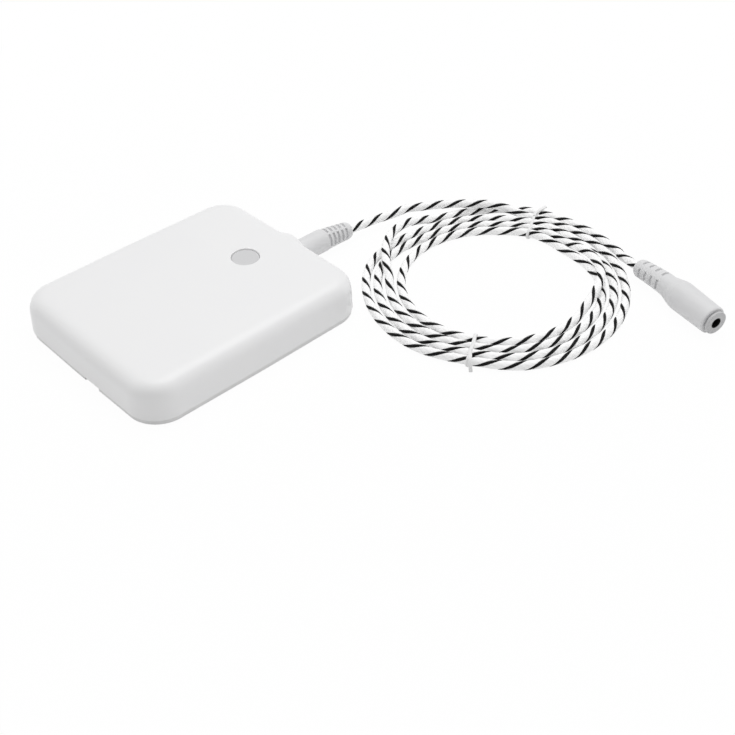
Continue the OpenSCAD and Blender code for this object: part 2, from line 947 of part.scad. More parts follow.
// A closed band round the lanes from lane a to lane b at ring angle ang, with a loose end of length tail
module tie(ang, a, b, tail, tail_a) {
    k = norm([(1 + coil_oval) * cos(ang), sin(ang)]);
    r0 = drawn(lane_r(b), 1) * k - cord_d / 2 - tie_gap;
    r1 = drawn(lane_r(a), 1) * k + cord_d / 2 + tie_gap;
    top = cord_d + tie_lift + tie_gap;
    place = atan2(sin(ang), (1 + coil_oval) * cos(ang));
    translate([coil_c[0], coil_c[1], 0])
        rotate([0, 0, place]) {
            rotate([90, 0, 0])
                translate([r0 - tie_t, 0, -tie_w / 2])
                    linear_extrude(tie_w)
                        difference() {
                            rounded_bar(r1 - r0 + 2 * tie_t, top + tie_t, tie_round);
                            translate([tie_t, tie_t])
                                rounded_bar(r1 - r0, top - tie_t, tie_in_round);
                        }
            translate([r0 + tail_in, 0, top])
                rotate([0, 0, tail_a])
                    translate([0, -tie_w / 2, 0])
                        cube([tail, tie_w, tie_t]);
        }
}

module front_tie() {
    color("white")
        tie(front_tie_a, 1, 4, front_tail, front_tail_a);
}

module rear_tie() {
    color("white")
        tie(rear_tie_a, 0, 4, rear_tail, rear_tail_a);
}

module at_socket() {
    translate([socket_p[0], socket_p[1], socket_z])
        rotate([0, 0, socket_a])
            rotate([0, 90, 0])
                children();
}

// The socket's grip: a barrel with a flare, and a strain relief that the cord bends down to the floor
module socket_grip() {
    flare_r = relief_r1 + relief_step;
    flare_z = relief_l + flare_l;
    flare_rise = flare_ease * (socket_r - flare_r);
    color("lightgray")
        difference() {
            union() {
                at_socket()
                    rotate_extrude()
                        polygon([
                            [0, relief_l],
                            [flare_r, relief_l],
                            [flare_r + flare_rise, relief_l + 2 * flare_ease * flare_l],
                            [socket_r - flare_rise, flare_z - flare_ease * flare_l],
                            [socket_r, flare_z],
                            [front_r, socket_l - end_round],
                            [front_r - end_round / 3, socket_l - end_round / 3],
                            [front_r - end_round, socket_l],
                            [0, socket_l]
                        ]);
                at_relief()
                    relief(relief_l, relief_r1, relief_r0);
            }
            at_socket()
                translate([0, 0, socket_l - neck_in])
                    cylinder(r = neck_r + fit, h = neck_in + past);
            at_socket()
                translate([0, 0, socket_l - neck_in - lug_l])
                    cylinder(r = lug_r + fit, h = lug_l + past);
            at_relief()
                slots(relief_l - relief_first - (relief_rows - 1) * relief_pitch, relief_pitch, relief_rows,
                    relief_turn, relief_arc, relief_l, relief_r1, relief_r0);
        }
}

// Frame of the socket's strain relief, with +Z from its root towards the cord
module at_relief() {
    translate(relief_p)
        rotate([0, 0, socket_a])
            rotate([0, -90 - relief_down, 0])
                children();
}

module socket_insert() {
    front = socket_l + disc_gap + disc_t;
    color("silver")
        at_socket()
            difference() {
                union() {
                    translate([0, 0, socket_l - neck_in])
                        cylinder(r = neck_r, h = neck_in + disc_gap + past / 2);
                    translate([0, 0, socket_l + disc_gap])
                        cylinder(r = disc_r, h = disc_t);
                }
                translate([0, 0, front - socket_bore_l])
                    cylinder(r = socket_bore_r, h = socket_bore_l + past);
            }
}

module socket_contact() {
    color("gold")
        at_socket()
            translate([0, 0, socket_l - neck_in - lug_l])
                cylinder(r = lug_r, h = lug_l);
}

top_shell();
button_cap();
switch_body();
switch_plunger();
status_led();
circuit_board();
radio_board();
shield_can();
control_chip();
storage_capacitor();
jack_body();
jack_pins();
board_screws();
battery_tray();
tray_screws();
battery_1();
battery_2();
battery_3();
battery_4();
far_bridges();
near_bridge();
terminals();
cover_seal();
bottom_cover();
rubber_feet();
plug_grip();
plug_sleeve();
plug_insulator();
plug_tip();
cord_lead();
cord_coil();
cord_tail();
front_tie();
rear_tie();
socket_grip();
socket_insert();
socket_contact();
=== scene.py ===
"""Looks of a water leak sensor: a white battery housing, and a coiled sensing cord that plugs into it."""

import bpy
import numpy as np
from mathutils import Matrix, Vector


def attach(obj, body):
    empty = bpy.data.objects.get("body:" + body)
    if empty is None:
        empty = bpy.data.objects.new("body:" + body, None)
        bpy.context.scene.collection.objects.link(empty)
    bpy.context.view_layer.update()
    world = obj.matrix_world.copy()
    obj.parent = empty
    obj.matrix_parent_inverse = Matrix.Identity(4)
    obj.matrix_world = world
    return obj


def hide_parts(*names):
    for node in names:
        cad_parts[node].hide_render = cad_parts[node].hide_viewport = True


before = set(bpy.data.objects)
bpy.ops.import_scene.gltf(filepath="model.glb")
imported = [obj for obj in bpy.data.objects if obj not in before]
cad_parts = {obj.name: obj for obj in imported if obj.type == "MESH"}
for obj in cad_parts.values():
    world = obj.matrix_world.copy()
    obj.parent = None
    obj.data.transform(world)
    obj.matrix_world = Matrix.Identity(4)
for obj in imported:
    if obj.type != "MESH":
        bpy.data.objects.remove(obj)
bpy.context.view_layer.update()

# Camera, light and table
# The view comes from the housing's near left corner, 40 degrees above the table. A soft lamp stands high up,
# a little behind on the right, and a weak one hangs overhead in a white room. The table keeps a faint shadow.
MM = 0.001
scene = bpy.context.scene
azimuth, elevation = np.radians([-44.06, 40.31])
target = np.array([25.56, -61.96, 0.0]) * MM
distance = 382.25 * MM
focal_mm, sensor_mm = 54.99, 36.0
scene_middle = np.array([50.0, -50.0, 0.0]) * MM
lamps = {"back_lamp": ((0.33, 0.18, 0.93), 900 * MM, 600 * MM, 2.5),
         "overhead_lamp": ((0, 0, 1), 700 * MM, 300 * MM, 0.4)}
sky_strength, wall_strength, near_share, far_share = 0.66, 0.9, 0.15, 0.5
near_way, near_range, far_range = (-0.7, -0.7, 0.1), (0.45, 0.95), (-0.9, -0.3)
table_r, table_corners = 4.0, 64
glow_share, glow_range = 0.97, (100 * MM, 300 * MM)


def add(tree, kind, inputs=None, **settings):
    """Adds a node with its settings, and gives each named input a link from a socket or a value."""
    node = tree.nodes.new(kind)
    for name, value in settings.items():
        setattr(node, name, value)
    for key, value in (inputs or {}).items():
        if isinstance(value, bpy.types.NodeSocket):
            tree.links.new(value, node.inputs[key])
        else:
            node.inputs[key].default_value = value
    return node


def linear(code):
    """Linear colour of an sRGB hex code, with full opacity."""
    c = np.array([int(code[i:i + 2], 16) for i in (1, 3, 5)]) / 255
    return (*np.where(c <= 0.04045, c / 12.92, ((c + 0.055) / 1.055) ** 2.4), 1.0)


lens = bpy.data.cameras.new("camera")
lens.lens = focal_mm
lens.sensor_width = sensor_mm
lens.clip_start = 10 * MM
camera = bpy.data.objects.new("camera", lens)
level = np.cos(elevation)
back = np.array([np.sin(azimuth) * level, -np.cos(azimuth) * level, np.sin(elevation)])
camera.location = target + distance * back
camera.rotation_euler = (np.pi / 2 - elevation, 0, azimuth)
scene.collection.objects.link(camera)
scene.camera = camera
scene.view_settings.view_transform = "Standard"

for name, (way, reach, size, power) in lamps.items():
    lamp = bpy.data.lights.new(name, "AREA")
    lamp.shape = "SQUARE"
    lamp.size = size
    lamp.energy = power
    holder = bpy.data.objects.new(name, lamp)
    holder.location = scene_middle + reach * np.array(way) / np.linalg.norm(way)
    holder.rotation_euler = Vector(way).to_track_quat("Z", "Y").to_euler()
    scene.collection.objects.link(holder)

# The room is white where it is seen or looked through. Its light, which mirrored rays meet too, is stronger
# from the walls than from the ceiling, weaker from the far side, to keep the back edges' tone, and weakest
# from the near side.
scene.world = bpy.data.worlds.new("white_room")
scene.world.use_nodes = True
tree = scene.world.node_tree
tree.nodes.clear()
heading = add(tree, "ShaderNodeTexCoord").outputs["Generated"]
height = add(tree, "ShaderNodeSeparateXYZ", {0: heading}).outputs["Z"]
walls = add(tree, "ShaderNodeMapRange", {"Value": height, "To Min": wall_strength, "To Max": sky_strength})
nearness = add(tree, "ShaderNodeVectorMath", {0: heading, 1: near_way}, operation="DOT_PRODUCT")
near = add(tree, "ShaderNodeMapRange", {
    "Value": nearness.outputs["Value"], "From Min": near_range[0], "From Max": near_range[1],
    "To Min": 1.0, "To Max": near_share})
far = add(tree, "ShaderNodeMapRange", {
    "Value": nearness.outputs["Value"], "From Min": far_range[0], "From Max": far_range[1],
    "To Min": far_share, "To Max": 1.0})
sides = add(tree, "ShaderNodeMath", {0: near.outputs[0], 1: far.outputs[0]}, operation="MULTIPLY")
strength = add(tree, "ShaderNodeMath", {0: walls.outputs[0], 1: sides.outputs[0]}, operation="MULTIPLY")
rays = add(tree, "ShaderNodeLightPath")
seen = add(tree, "ShaderNodeMath", {
    0: rays.outputs["Is Camera Ray"], 1: rays.outputs["Is Transmission Ray"]}, operation="MAXIMUM")
light = add(tree, "ShaderNodeBackground", {"Color": linear("#FFFFFF"), "Strength": strength.outputs[0]})
white = add(tree, "ShaderNodeBackground", {"Color": linear("#FFFFFF"), "Strength": 1.0})
mix = add(tree, "ShaderNodeMixShader", {0: seen.outputs[0], 1: light.outputs[0], 2: white.outputs[0]})
add(tree, "ShaderNodeOutputWorld", {"Surface": mix.outputs[0]})

# The table is white lacquer that glows white where it is seen, a little less near the object to keep the
# shadow, and is clear from below so that the underside can be looked at.
table_paint = bpy.data.materials.new("table_lacquer")
table_paint.use_nodes = True
tree = table_paint.node_tree
tree.nodes.clear()
place = add(tree, "ShaderNodeTexCoord").outputs["Object"]
away = add(tree, "ShaderNodeVectorMath", {0: place, 1: tuple(scene_middle)}, operation="DISTANCE")
glow = add(tree, "ShaderNodeMapRange", {
    "Value": away.outputs["Value"], "From Min": glow_range[0], "From Max": glow_range[1],
    "To Min": glow_share, "To Max": 1.0})
rays = add(tree, "ShaderNodeLightPath")
mirrored = add(tree, "ShaderNodeMath", {
    0: rays.outputs["Is Glossy Ray"], 1: rays.outputs["Is Transmission Ray"]}, operation="MAXIMUM")
seen = add(tree, "ShaderNodeMath", {
    0: rays.outputs["Is Camera Ray"], 1: mirrored.outputs[0]}, operation="MAXIMUM")
share = add(tree, "ShaderNodeMath", {0: seen.outputs[0], 1: glow.outputs["Result"]}, operation="MULTIPLY")
matt = add(tree, "ShaderNodeBsdfDiffuse", {"Color": linear("#F8F8F8")})
shining = add(tree, "ShaderNodeEmission", {"Color": linear("#FFFFFF"), "Strength": 1.0})
top = add(tree, "ShaderNodeMixShader", {0: share.outputs[0], 1: matt.outputs[0], 2: shining.outputs[0]})
below = add(tree, "ShaderNodeBsdfTransparent")
underside = add(tree, "ShaderNodeNewGeometry").outputs["Backfacing"]
mix = add(tree, "ShaderNodeMixShader", {0: underside, 1: top.outputs[0], 2: below.outputs[0]})
add(tree, "ShaderNodeOutputMaterial", {"Surface": mix.outputs[0]})
bearing = np.linspace(0, 2 * np.pi, table_corners, endpoint=False)
table_rim = table_r * np.stack([np.cos(bearing), np.sin(bearing), 0 * bearing], -1)
table_mesh = bpy.data.meshes.new("table")
table_mesh.from_pydata(table_rim.tolist(), [], [list(range(table_corners))])
table_mesh.materials.append(table_paint)
table = bpy.data.objects.new("table", table_mesh)
scene.collection.objects.link(table)

# Sensing cord
# A round white polyester-covered cord with two grooves that wind left-handed round it. It leaves the plug's
# strain relief, winds inwards on the table in four loops, crosses out over them and ends in the socket.
cord_d = 3.3 * MM
cord_sunk = 3.0 * MM
cord_step, cord_sides = 1.2 * MM, 60
groove_depth, groove_a = 0.8 * MM, np.radians(26)
lay_pitch = 17.4 * MM
lay_phase = np.radians(-22.5)
threads_round, thread_run, thread_relief = 6, 1.496 * MM, 0.03 * MM
plug_end, plug_way = np.array([74.733, -0.961, 4.493]) * MM, np.array([0.99483, -0.07393, -0.06976])
lead_points = np.array([[86.8, -2.5, 4.2], [91.5, -4.0, 4.5], [96.0, -5.8, 5.0]]) * MM
tail_points = np.array([[139.6, -83.6, 2.1], [138.2, -86.6, 2.9]]) * MM
socket_end = np.array([135.716, -94.135, 3.969]) * MM
socket_way = np.array([-0.2574, -0.96063, 0.104528])
coil_centre = np.array([92.0, -61.5]) * MM
coil_r, coil_step, coil_oval = 47.5 * MM, 4.3 * MM, 0.02
back_lanes, front_lanes = np.array([1, 2, 3, 4, 1]), np.array([1, 2, 4, 3, 0])
inward_a, outward_a, leave_a = (126.0, 78.0), (138.0, 92.0), (70.0, 25.0)
cross_in_a, cross_out_a = (-35.0, -80.0), (5.0, -55.0)
coil_from, coil_to, coil_turns, wind_step = 75.0, -16.0, 4, 2.0
split_a = -95.0
entry_r, entry_a, entry_down_a = 5.8 * MM, 45.0, (46.0, 20.0)
cross_up_a, cross_down_a = (4.0, -30.0), (-54.0, -88.0)
over_up_a, over_down_a = (150.0, 122.0), (92.0, 66.0)
arch_z = 5.4 * MM
tie_angles, tie_lift, tie_spread = (-150.5, 16.0), 0.7 * MM, 28.0
mid_lane, tie_draw = 2.5, 0.13
oversample, crease_a = 4, np.radians(38)


def smooth(v):
    """Smooth step from 0 to 1: three times the square less twice the cube of v held between 0 and 1."""
    v = np.clip(v, 0, 1)
    return v * v * (3 - 2 * v)


def eased(a, ends):
    """Share of a change that is done at angle a, between the two angles where it begins and ends."""
    return smooth((ends[0] - a) / (ends[0] - ends[1]))


def lane_r(lane):
    """Radius of a lane, counted from the outside."""
    return coil_r - (lane - 1) * coil_step


def winding(s):
    """Centre line of the coil after s degrees: a slightly oval turn, one lane further in at each pass. At the
    front the third pass crosses over the fourth, and at the back the fourth crosses out over the others and
    leaves under the first. The ties draw the lanes together and lift them by a squared cosine."""
    m = np.floor((s - coil_from + split_a) / 360).astype(int) + 1
    a = coil_from - s + 360 * m
    before, back, front = (lane_r(lanes[i]) for lanes, i in (
        (front_lanes, np.maximum(m - 1, 0)), (back_lanes, m), (front_lanes, m)))
    last, fourth, third = m == coil_turns, m == coil_turns - 1, m == coil_turns - 2
    at_back = np.where(last, eased(a, outward_a), eased(a, inward_a))
    inner_change = np.where(fourth, eased(a, cross_out_a), eased(a, cross_in_a))
    at_front = np.where(last, eased(a, leave_a), inner_change)
    entry = coil_r + entry_r * (1 - np.clip(s / entry_a, 0, 1)) ** 2
    r = np.where(m == 0, entry, before + (back - before) * at_back + (front - back) * at_front)
    up = np.where(m == 0, 1 - eased(a, entry_down_a), 0)
    up = up + third * (eased(a, cross_up_a) - eased(a, cross_down_a))
    up = up + last * (eased(a, over_up_a) - eased(a, over_down_a))
    held = 0
    for tie_a in tie_angles:
        off = (a - tie_a + 180) % 360 - 180
        held = held + np.where(np.abs(off) < tie_spread, np.cos(np.pi / 2 * off / tie_spread) ** 2, 0)
    r = r + (lane_r(mid_lane) - r) * tie_draw * held
    z = cord_d / 2 + np.maximum(tie_lift * held, (arch_z - cord_d / 2) * up)
    x, y = (1 + coil_oval) * r * np.cos(np.radians(a)), r * np.sin(np.radians(a))
    return np.stack([coil_centre[0] + x, coil_centre[1] + y, z], -1)


def line_through(points, step):
    """Smooth line through points, resampled in equal steps: cubic pieces whose slope at each point is the
    mean of the slopes of the runs beside it, each weighted by the length of the other."""
    runs = np.diff(points, axis=0)
    h = np.linalg.norm(runs, axis=1)[:, None]
    d = runs / h
    slope = np.concatenate([d[:1], (d[:-1] * h[1:] + d[1:] * h[:-1]) / (h[:-1] + h[1:]), d[-1:]])
    knots = np.concatenate([[0], np.cumsum(h)])
    at = np.linspace(0, knots[-1], int(knots[-1] / step * oversample))
    i = np.clip(np.searchsorted(knots, at, side="right") - 1, 0, len(h) - 1)
    v = (at - knots[i])[:, None] / h[i]
    line = ((2 * v ** 3 - 3 * v ** 2 + 1) * points[i] + (v ** 3 - 2 * v ** 2 + v) * h[i] * slope[i]
            + (3 * v ** 2 - 2 * v ** 3) * points[i + 1] + (v ** 3 - v ** 2) * h[i] * slope[i + 1])
    length = np.concatenate([[0], np.cumsum(np.linalg.norm(np.diff(line, axis=0), axis=1))])
    even = np.linspace(0, length[-1], int(length[-1] / step) + 1)
    return np.stack([np.interp(even, length, line[:, k]) for k in range(3)], -1)


def square_to(heading):
    """Sideways and upward unit vectors square to a heading, the sideways one level."""
    side = np.cross(heading, [0, 0, 1])
    side = side / np.linalg.norm(side, axis=-1, keepdims=True)
    up = np.cross(side, heading)
    return side, up / np.linalg.norm(up, axis=-1, keepdims=True)


def laid(line, section):
    """Rings of a section swept along a line: its points, across and up, are turned about the line by one turn
    each pitch from the phase at the plug's end."""
    side, up = square_to(np.gradient(line, axis=0))
    run = np.concatenate([[0], np.cumsum(np.linalg.norm(np.diff(line, axis=0), axis=1))]) - cord_sunk
    lay = (lay_phase + 2 * np.pi * run / lay_pitch)[:, None]
    across = section[:, 0] * np.cos(lay) - section[:, 1] * np.sin(lay)
    upward = section[:, 0] * np.sin(lay) + section[:, 1] * np.cos(lay)
    return line[:, None] + across[..., None] * side[:, None] + upward[..., None] * up[:, None]


def put_mesh(name, grids, material, body=None, closed=False):
    """Object made of grids of points, each a row of rings. Quads close every ring and join it to the next;
    the last ring joins the first where closed, and flat caps close both ends elsewhere. The UV map holds
    turns round the ring and metres along the grid, and the sign of the volume turns all faces outwards."""
    points, faces, uvs, start = [], [], [], 0
    for rings in grids:
        n, m = rings.shape[:2]
        i, j = np.meshgrid(np.arange(n if closed else n - 1), np.arange(m), indexing="ij")
        after, beside = (i + 1) % n, (j + 1) % m
        quads = np.stack([i * m + j, after * m + j, after * m + beside, i * m + beside], -1).reshape(-1, 4)
        steps = np.linalg.norm(np.diff(rings[:, 0], axis=0, append=rings[:1, 0]), axis=1)
        along = np.concatenate([[0], np.cumsum(steps)])
        u = np.stack([j, j, j + 1, j + 1], -1) / m
        v = np.stack([along[i], along[i + 1], along[i + 1], along[i]], -1)
        uv = np.stack([u, v], -1).reshape(-1, 4, 2)
        a, b, c, d = (rings.reshape(-1, 3)[quads].transpose(1, 0, 2) - rings.mean((0, 1)))
        flip = -1 if np.sum(a * (np.cross(b, c) + np.cross(c, d))) < 0 else 1
        ring = np.arange(m)
        caps = [] if closed else [ring[::flip] + start, ring[::-flip] + (n - 1) * m + start]
        points.append(rings.reshape(-1, 3))
        faces += (quads[:, ::flip] + start).tolist() + [cap.tolist() for cap in caps]
        uvs += [uv[:, ::flip].reshape(-1, 2)] + [np.zeros((m, 2)) for cap in caps]
        start += n * m
    mesh = bpy.data.meshes.new(name)
    mesh.from_pydata(np.concatenate(points).tolist(), [], faces)
    mesh.uv_layers.new(name="lay").data.foreach_set("uv", np.concatenate(uvs).ravel())
    mesh.polygons.foreach_set("use_smooth", np.ones(len(mesh.polygons), bool))
    mesh.set_sharp_from_angle(angle=crease_a)
    mesh.materials.append(material)
    piece = bpy.data.objects.new(name, mesh)
    scene.collection.objects.link(piece)
    if body:
        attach(piece, body)
    return piece


sweep = coil_from - coil_to + 360 * coil_turns
wound = winding(np.arange(0, sweep, wind_step))
wound_in, wound_out = (v / np.linalg.norm(v) for v in (wound[1] - wound[0], wound[-1] - wound[-2]))
cord_points = np.concatenate([
    [plug_end - cord_sunk * plug_way, plug_end, plug_end + cord_d * plug_way], lead_points,
    [wound[0] - 2 * cord_d * wound_in, wound[0] - cord_d * wound_in], wound,
    [wound[-1] + cord_d * wound_out, wound[-1] + 2 * cord_d * wound_out], tail_points,
    [socket_end - cord_d * socket_way, socket_end, socket_end + cord_sunk * socket_way]])
cord_line = line_through(cord_points, cord_step)

# Polyester cover: white threads wound on the slant, seen as fine ridges, with painted shade in faint grey
# between them. A faint glow is painted light that brightens the cord, and stands for the brightener in the
# yarn. The threads are drawn wider than real ones, to show.
cord_cover = bpy.data.materials.new("polyester_cover")
cord_cover.use_nodes = True
tree = cord_cover.node_tree
tree.nodes.clear()
# The wave pattern comes round again after this much of its coordinate.
wave = 2 * np.pi / 10
lay_map = add(tree, "ShaderNodeUVMap", uv_map="lay").outputs[0]
slant = add(tree, "ShaderNodeVectorMath", {
    0: lay_map, 1: (wave * threads_round, wave / thread_run, 0)}, operation="MULTIPLY")
threads = add(tree, "ShaderNodeTexWave", {
    "Vector": slant.outputs[0], "Scale": 1.0}, bands_direction="DIAGONAL")
# The grey falls in the hollows between the threads: painted shade.
tone = add(tree, "ShaderNodeMix", {
    0: threads.outputs[0], 6: linear("#F6F6F6"), 7: linear("#FDFDFD")}, data_type="RGBA")
ridges = add(tree, "ShaderNodeBump", {
    "Height": threads.outputs[0], "Strength": 0.3, "Distance": thread_relief})
# The emission is a painted glow that lights the cord a little beyond its lamps.
shader = add(tree, "ShaderNodeBsdfPrincipled", {
    "Base Color": tone.outputs[2], "Roughness": 0.6, "Normal": ridges.outputs[0],
    "Emission Color": tone.outputs[2], "Emission Strength": 0.12})
add(tree, "ShaderNodeOutputMaterial", {"Surface": shader.outputs[0]})

# The section is a circle less two half-ellipse grooves.
turn = np.linspace(0, 2 * np.pi, cord_sides, endpoint=False)
off_groove = np.abs((turn + np.pi / 2) % np.pi - np.pi / 2)
cord_r = cord_d / 2 - groove_depth * np.sqrt(np.clip(1 - (off_groove / groove_a) ** 2, 0, 1))
cord_section = cord_r[:, None] * np.column_stack([np.cos(turn), np.sin(turn)])
cord = put_mesh("sensing_cord", [laid(cord_line, cord_section)], cord_cover, "cable")
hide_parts("cord_lead", "cord_coil", "cord_tail")

# Sensing wires
# A thin black conductive wire lies in each of the two grooves, just proud of the cord, and comes to the top
# of the cord in slanting dashes. Water that bridges the two is what the sensor detects.
wire_r, wire_out, wire_sides = 0.68 * MM, 1.02 * MM, 10
scuff_size = 1.11 * MM

# Conductive plastic: near black, a little grey where it is scuffed.
wire_plastic = bpy.data.materials.new("conductive_plastic")
wire_plastic.use_nodes = True
tree = wire_plastic.node_tree
tree.nodes.clear()
place = add(tree, "ShaderNodeTexCoord").outputs["Object"]
scuffs = add(tree, "ShaderNodeTexNoise", {"Vector": place, "Scale": 1 / scuff_size, "Detail": 3.0})
tone = add(tree, "ShaderNodeMix", {
    0: scuffs.outputs[0], 6: linear("#050505"), 7: linear("#141414")}, data_type="RGBA")
shader = add(tree, "ShaderNodeBsdfPrincipled", {
    "Base Color": tone.outputs[2], "Roughness": 0.6, "Specular IOR Level": 0.15})
add(tree, "ShaderNodeOutputMaterial", {"Surface": shader.outputs[0]})

turn = np.linspace(0, 2 * np.pi, wire_sides, endpoint=False)
wire_sections = [np.column_stack([way * wire_out + wire_r * np.cos(turn), wire_r * np.sin(turn)])
                 for way in (1, -1)]
wires = put_mesh("sensing_wires", [laid(cord_line, section) for section in wire_sections], wire_plastic,
                 "cable")

# Tie bands
# Two narrow white nylon bands hold the coil together, one on its near side and one on its far side. Each is
# passed under the loops and back over them, and its end sticks out past the outermost loop.
band_t, band_dip = 0.5 * MM, 0.2 * MM
band_under, band_over = 0.28 * MM, 4.35 * MM
band_step, tip_step = 0.4 * MM, 0.3 * MM
band_corners, band_points, bend_points = 16, 40, 14
sheen_spread, grain_strength, grain_depth = 0.06, 0.2, 0.06


def finish(name, pale, deep, roughness, grain, metallic=0.0, cloud=33.3 * MM):
    """Moulded or drawn surface: two close tones in wide clouds, and a fine grain that breaks up the sheen and
    the relief. The grain is drawn coarser than a mould's real one, so that it can show."""
    material = bpy.data.materials.new(name)
    material.use_nodes = True
    tree = material.node_tree
    tree.nodes.clear()
    place = add(tree, "ShaderNodeTexCoord").outputs["Object"]
    clouds = add(tree, "ShaderNodeTexNoise", {"Vector": place, "Scale": 1 / cloud, "Detail": 2.0})
    fine = add(tree, "ShaderNodeTexNoise", {"Vector": place, "Scale": 1 / grain, "Detail": 2.0})
    tone = add(tree, "ShaderNodeMix", {
        0: clouds.outputs[0], 6: linear(pale), 7: linear(deep)}, data_type="RGBA")
    sheen = add(tree, "ShaderNodeMapRange", {
        "Value": fine.outputs[0], "To Min": roughness - sheen_spread, "To Max": roughness + sheen_spread})
    relief = add(tree, "ShaderNodeBump", {
        "Height": fine.outputs[0], "Strength": grain_strength, "Distance": grain * grain_depth})
    shader = add(tree, "ShaderNodeBsdfPrincipled", {
        "Base Color": tone.outputs[2], "Roughness": sheen.outputs[0], "Metallic": metallic,
        "Normal": relief.outputs[0]})
    add(tree, "ShaderNodeOutputMaterial", {"Surface": shader.outputs[0]})
    return material


def band_rings(line, across, width):
    """Rings of a flat band along a line: a rounded oblong, the square roots of cosine and sine, set square to
    the line with its width along the across direction."""
    heading = np.gradient(line, axis=0)
    heading /= np.linalg.norm(heading, axis=1, keepdims=True)
    across = across - np.sum(across * heading, axis=1, keepdims=True) * heading
    across /= np.linalg.norm(across, axis=1, keepdims=True)
    turn = np.linspace(0, 2 * np.pi, band_corners, endpoint=False)
    w, t = (0.5 * np.sign(f) * np.abs(f) ** 0.5 for f in (np.cos(turn), np.sin(turn)))
    thick = np.cross(heading, across)
    return (line[:, None] + width * w[None, :, None] * across[:, None]
            + band_t * t[None, :, None] * thick[:, None])


def tie_band(angle, inner, outer, sway, tip, width):
    """Grids of one tie at an angle round the coil: an under run and an over run joined by half circles about
    the innermost and outermost cord, the over run dipping between cords by a cosine and swaying sideways, and
    a loose tip."""
    out = np.array([(1 + coil_oval) * np.cos(np.radians(angle)), np.sin(np.radians(angle)), 0])
    along = np.array([-np.sin(np.radians(angle)), np.cos(np.radians(angle)), 0])
    origin = np.array([*coil_centre, 0])
    half = (band_over - band_under) / 2
    middle = band_under + half
    r = np.linspace(inner, outer, band_points)
    dip = band_dip * (1 - np.cos(2 * np.pi * (r - inner) / coil_step))
    bend = np.linspace(np.pi / 2, -np.pi / 2, bend_points)[1:-1]
    over = np.stack([r, np.interp(r, *sway), band_over - dip], -1)
    arch, rise = half * np.cos(bend), half * np.sin(bend)
    end = np.stack([outer + arch, 0 * bend + over[-1, 1] / 2, middle + rise], -1)
    under = np.stack([r[::-1], 0 * r, 0 * r + band_under], -1)
    start = np.stack([inner - arch, 0 * bend + over[0, 1] / 2, middle - rise], -1)
    loop = np.concatenate([over, end, under, start, over[:1]])
    grids = []
    for path, step in ((loop, band_step), (tip, tip_step)):
        line = line_through(origin + path[:, :1] * out + path[:, 1:2] * along + path[:, 2:] * [0, 0, 1], step)
        grids.append(band_rings(line, np.broadcast_to(along, line.shape), width))
    return grids


# Nylon band: bright white with a faint grey cloud.
tie_nylon = finish("tie_nylon", "#FAFAFA", "#F0F0F0", 0.45, 0.6 * MM)
front_sway = np.array([[34.6, 38.0, 41.0, 43.7, 46.4, 48.9], [-0.1, 0.1, 0.2, -0.1, 0.4, 0.9]]) * MM
front_tip = np.array([[46.0, 0.5, 4.7], [48.4, 1.0, 4.4], [50.1, 1.6, 2.6], [50.7, 2.0, 0.9]]) * MM
front_band = tie_band(-149.9, 35.44 * MM, 46.66 * MM, front_sway, front_tip, 1.3 * MM)
front_tie = put_mesh("front_band", front_band, tie_nylon, "cable")
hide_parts("front_tie")
rear_sway = np.array([[32.0, 35.0, 39.5, 44.7, 51.0], [-0.4, -0.1, 0.6, 1.4, 0.6]]) * MM
rear_tip = np.array([[44.5, 1.4, 4.7], [46.5, 1.4, 5.0], [49.0, 0.4, 5.2], [51.5, -1.0, 5.6]]) * MM
rear_band = tie_band(20.0, 35.44 * MM, 50.4 * MM, rear_sway, rear_tip, 1.1 * MM)
rear_tie = put_mesh("rear_band", rear_band, tie_nylon, "cable")
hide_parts("rear_tie")

# Upper housing
# One white ABS moulding with drafted, slightly bowed sides, a rounded top edge, a round hole for the button
# and a round boss about the jack. It clips to the cover below, and screws go into the posts under its top.
body_x = -0.3 * MM
corner_x, corner_y, corner_r = 35.25 * MM, 27.25 * MM, 12.1 * MM
side_bow = 0.2 * MM
shell_z0, shell_z1 = 2.5 * MM, 15.6 * MM
fillet_run, fillet_steps, draft = 11.2 * MM, 35, np.radians(3)
wall_t, ceiling_z, inner_fillet, inner_z = 2.0 * MM, 13.8 * MM, 3.2 * MM, 6.0 * MM
lip_round = 0.25 * MM
side_points, corner_points = (80, 48, 80, 48), 20
round_points, inner_points, wall_rows = 5, 10, 20
hole_place, hole_r, hole_round = np.array([24.1, 0.0]) * MM, 5.2 * MM, 0.3 * MM
boss_x, boss_r, boss_round, boss_blend, boss_fall = 47.8 * MM, 9.7 * MM, 3.2 * MM, 1.4 * MM, 4
jack_y, jack_z, jack_hole_r = 0.0, 5.4 * MM, 2.6 * MM
drill_x0, drill_x1, pole_r = 43.0 * MM, 49.0 * MM, 0.02 * MM
post_r, post_bore_r, post_z, post_sunk = 2.5 * MM, 0.9 * MM, 9.7 * MM, 0.3 * MM
post_xy = np.array([[11.3, 25.0], [41.3, 25.0], [-31.8, 26.2], [-6.0, 26.2]]) * MM

plan_at, plan_out, plan_bow = [], [], []
corners = np.array([[1, -1], [1, 1], [-1, 1], [-1, -1], [1, -1]]) * [corner_x, corner_y]
for quarter, count in enumerate(side_points):
    f = np.linspace(0, 1, count, endpoint=False)[:, None]
    a = np.pi / 2 * (quarter + np.linspace(0, 1, corner_points, endpoint=False)[:, None])
    here, ahead = corners[quarter:quarter + 2]
    plan_at += [here + f * (ahead - here), ahead + 0 * a]
    plan_out += [np.hstack([np.cos(a[:1]), np.sin(a[:1])]) + 0 * f, np.hstack([np.cos(a), np.sin(a)])]
    plan_bow += [side_bow * np.sin(np.pi * f) ** 2, 0 * a]
plan_at, plan_out, plan_bow = (np.concatenate(v) for v in (plan_at, plan_out, plan_bow))


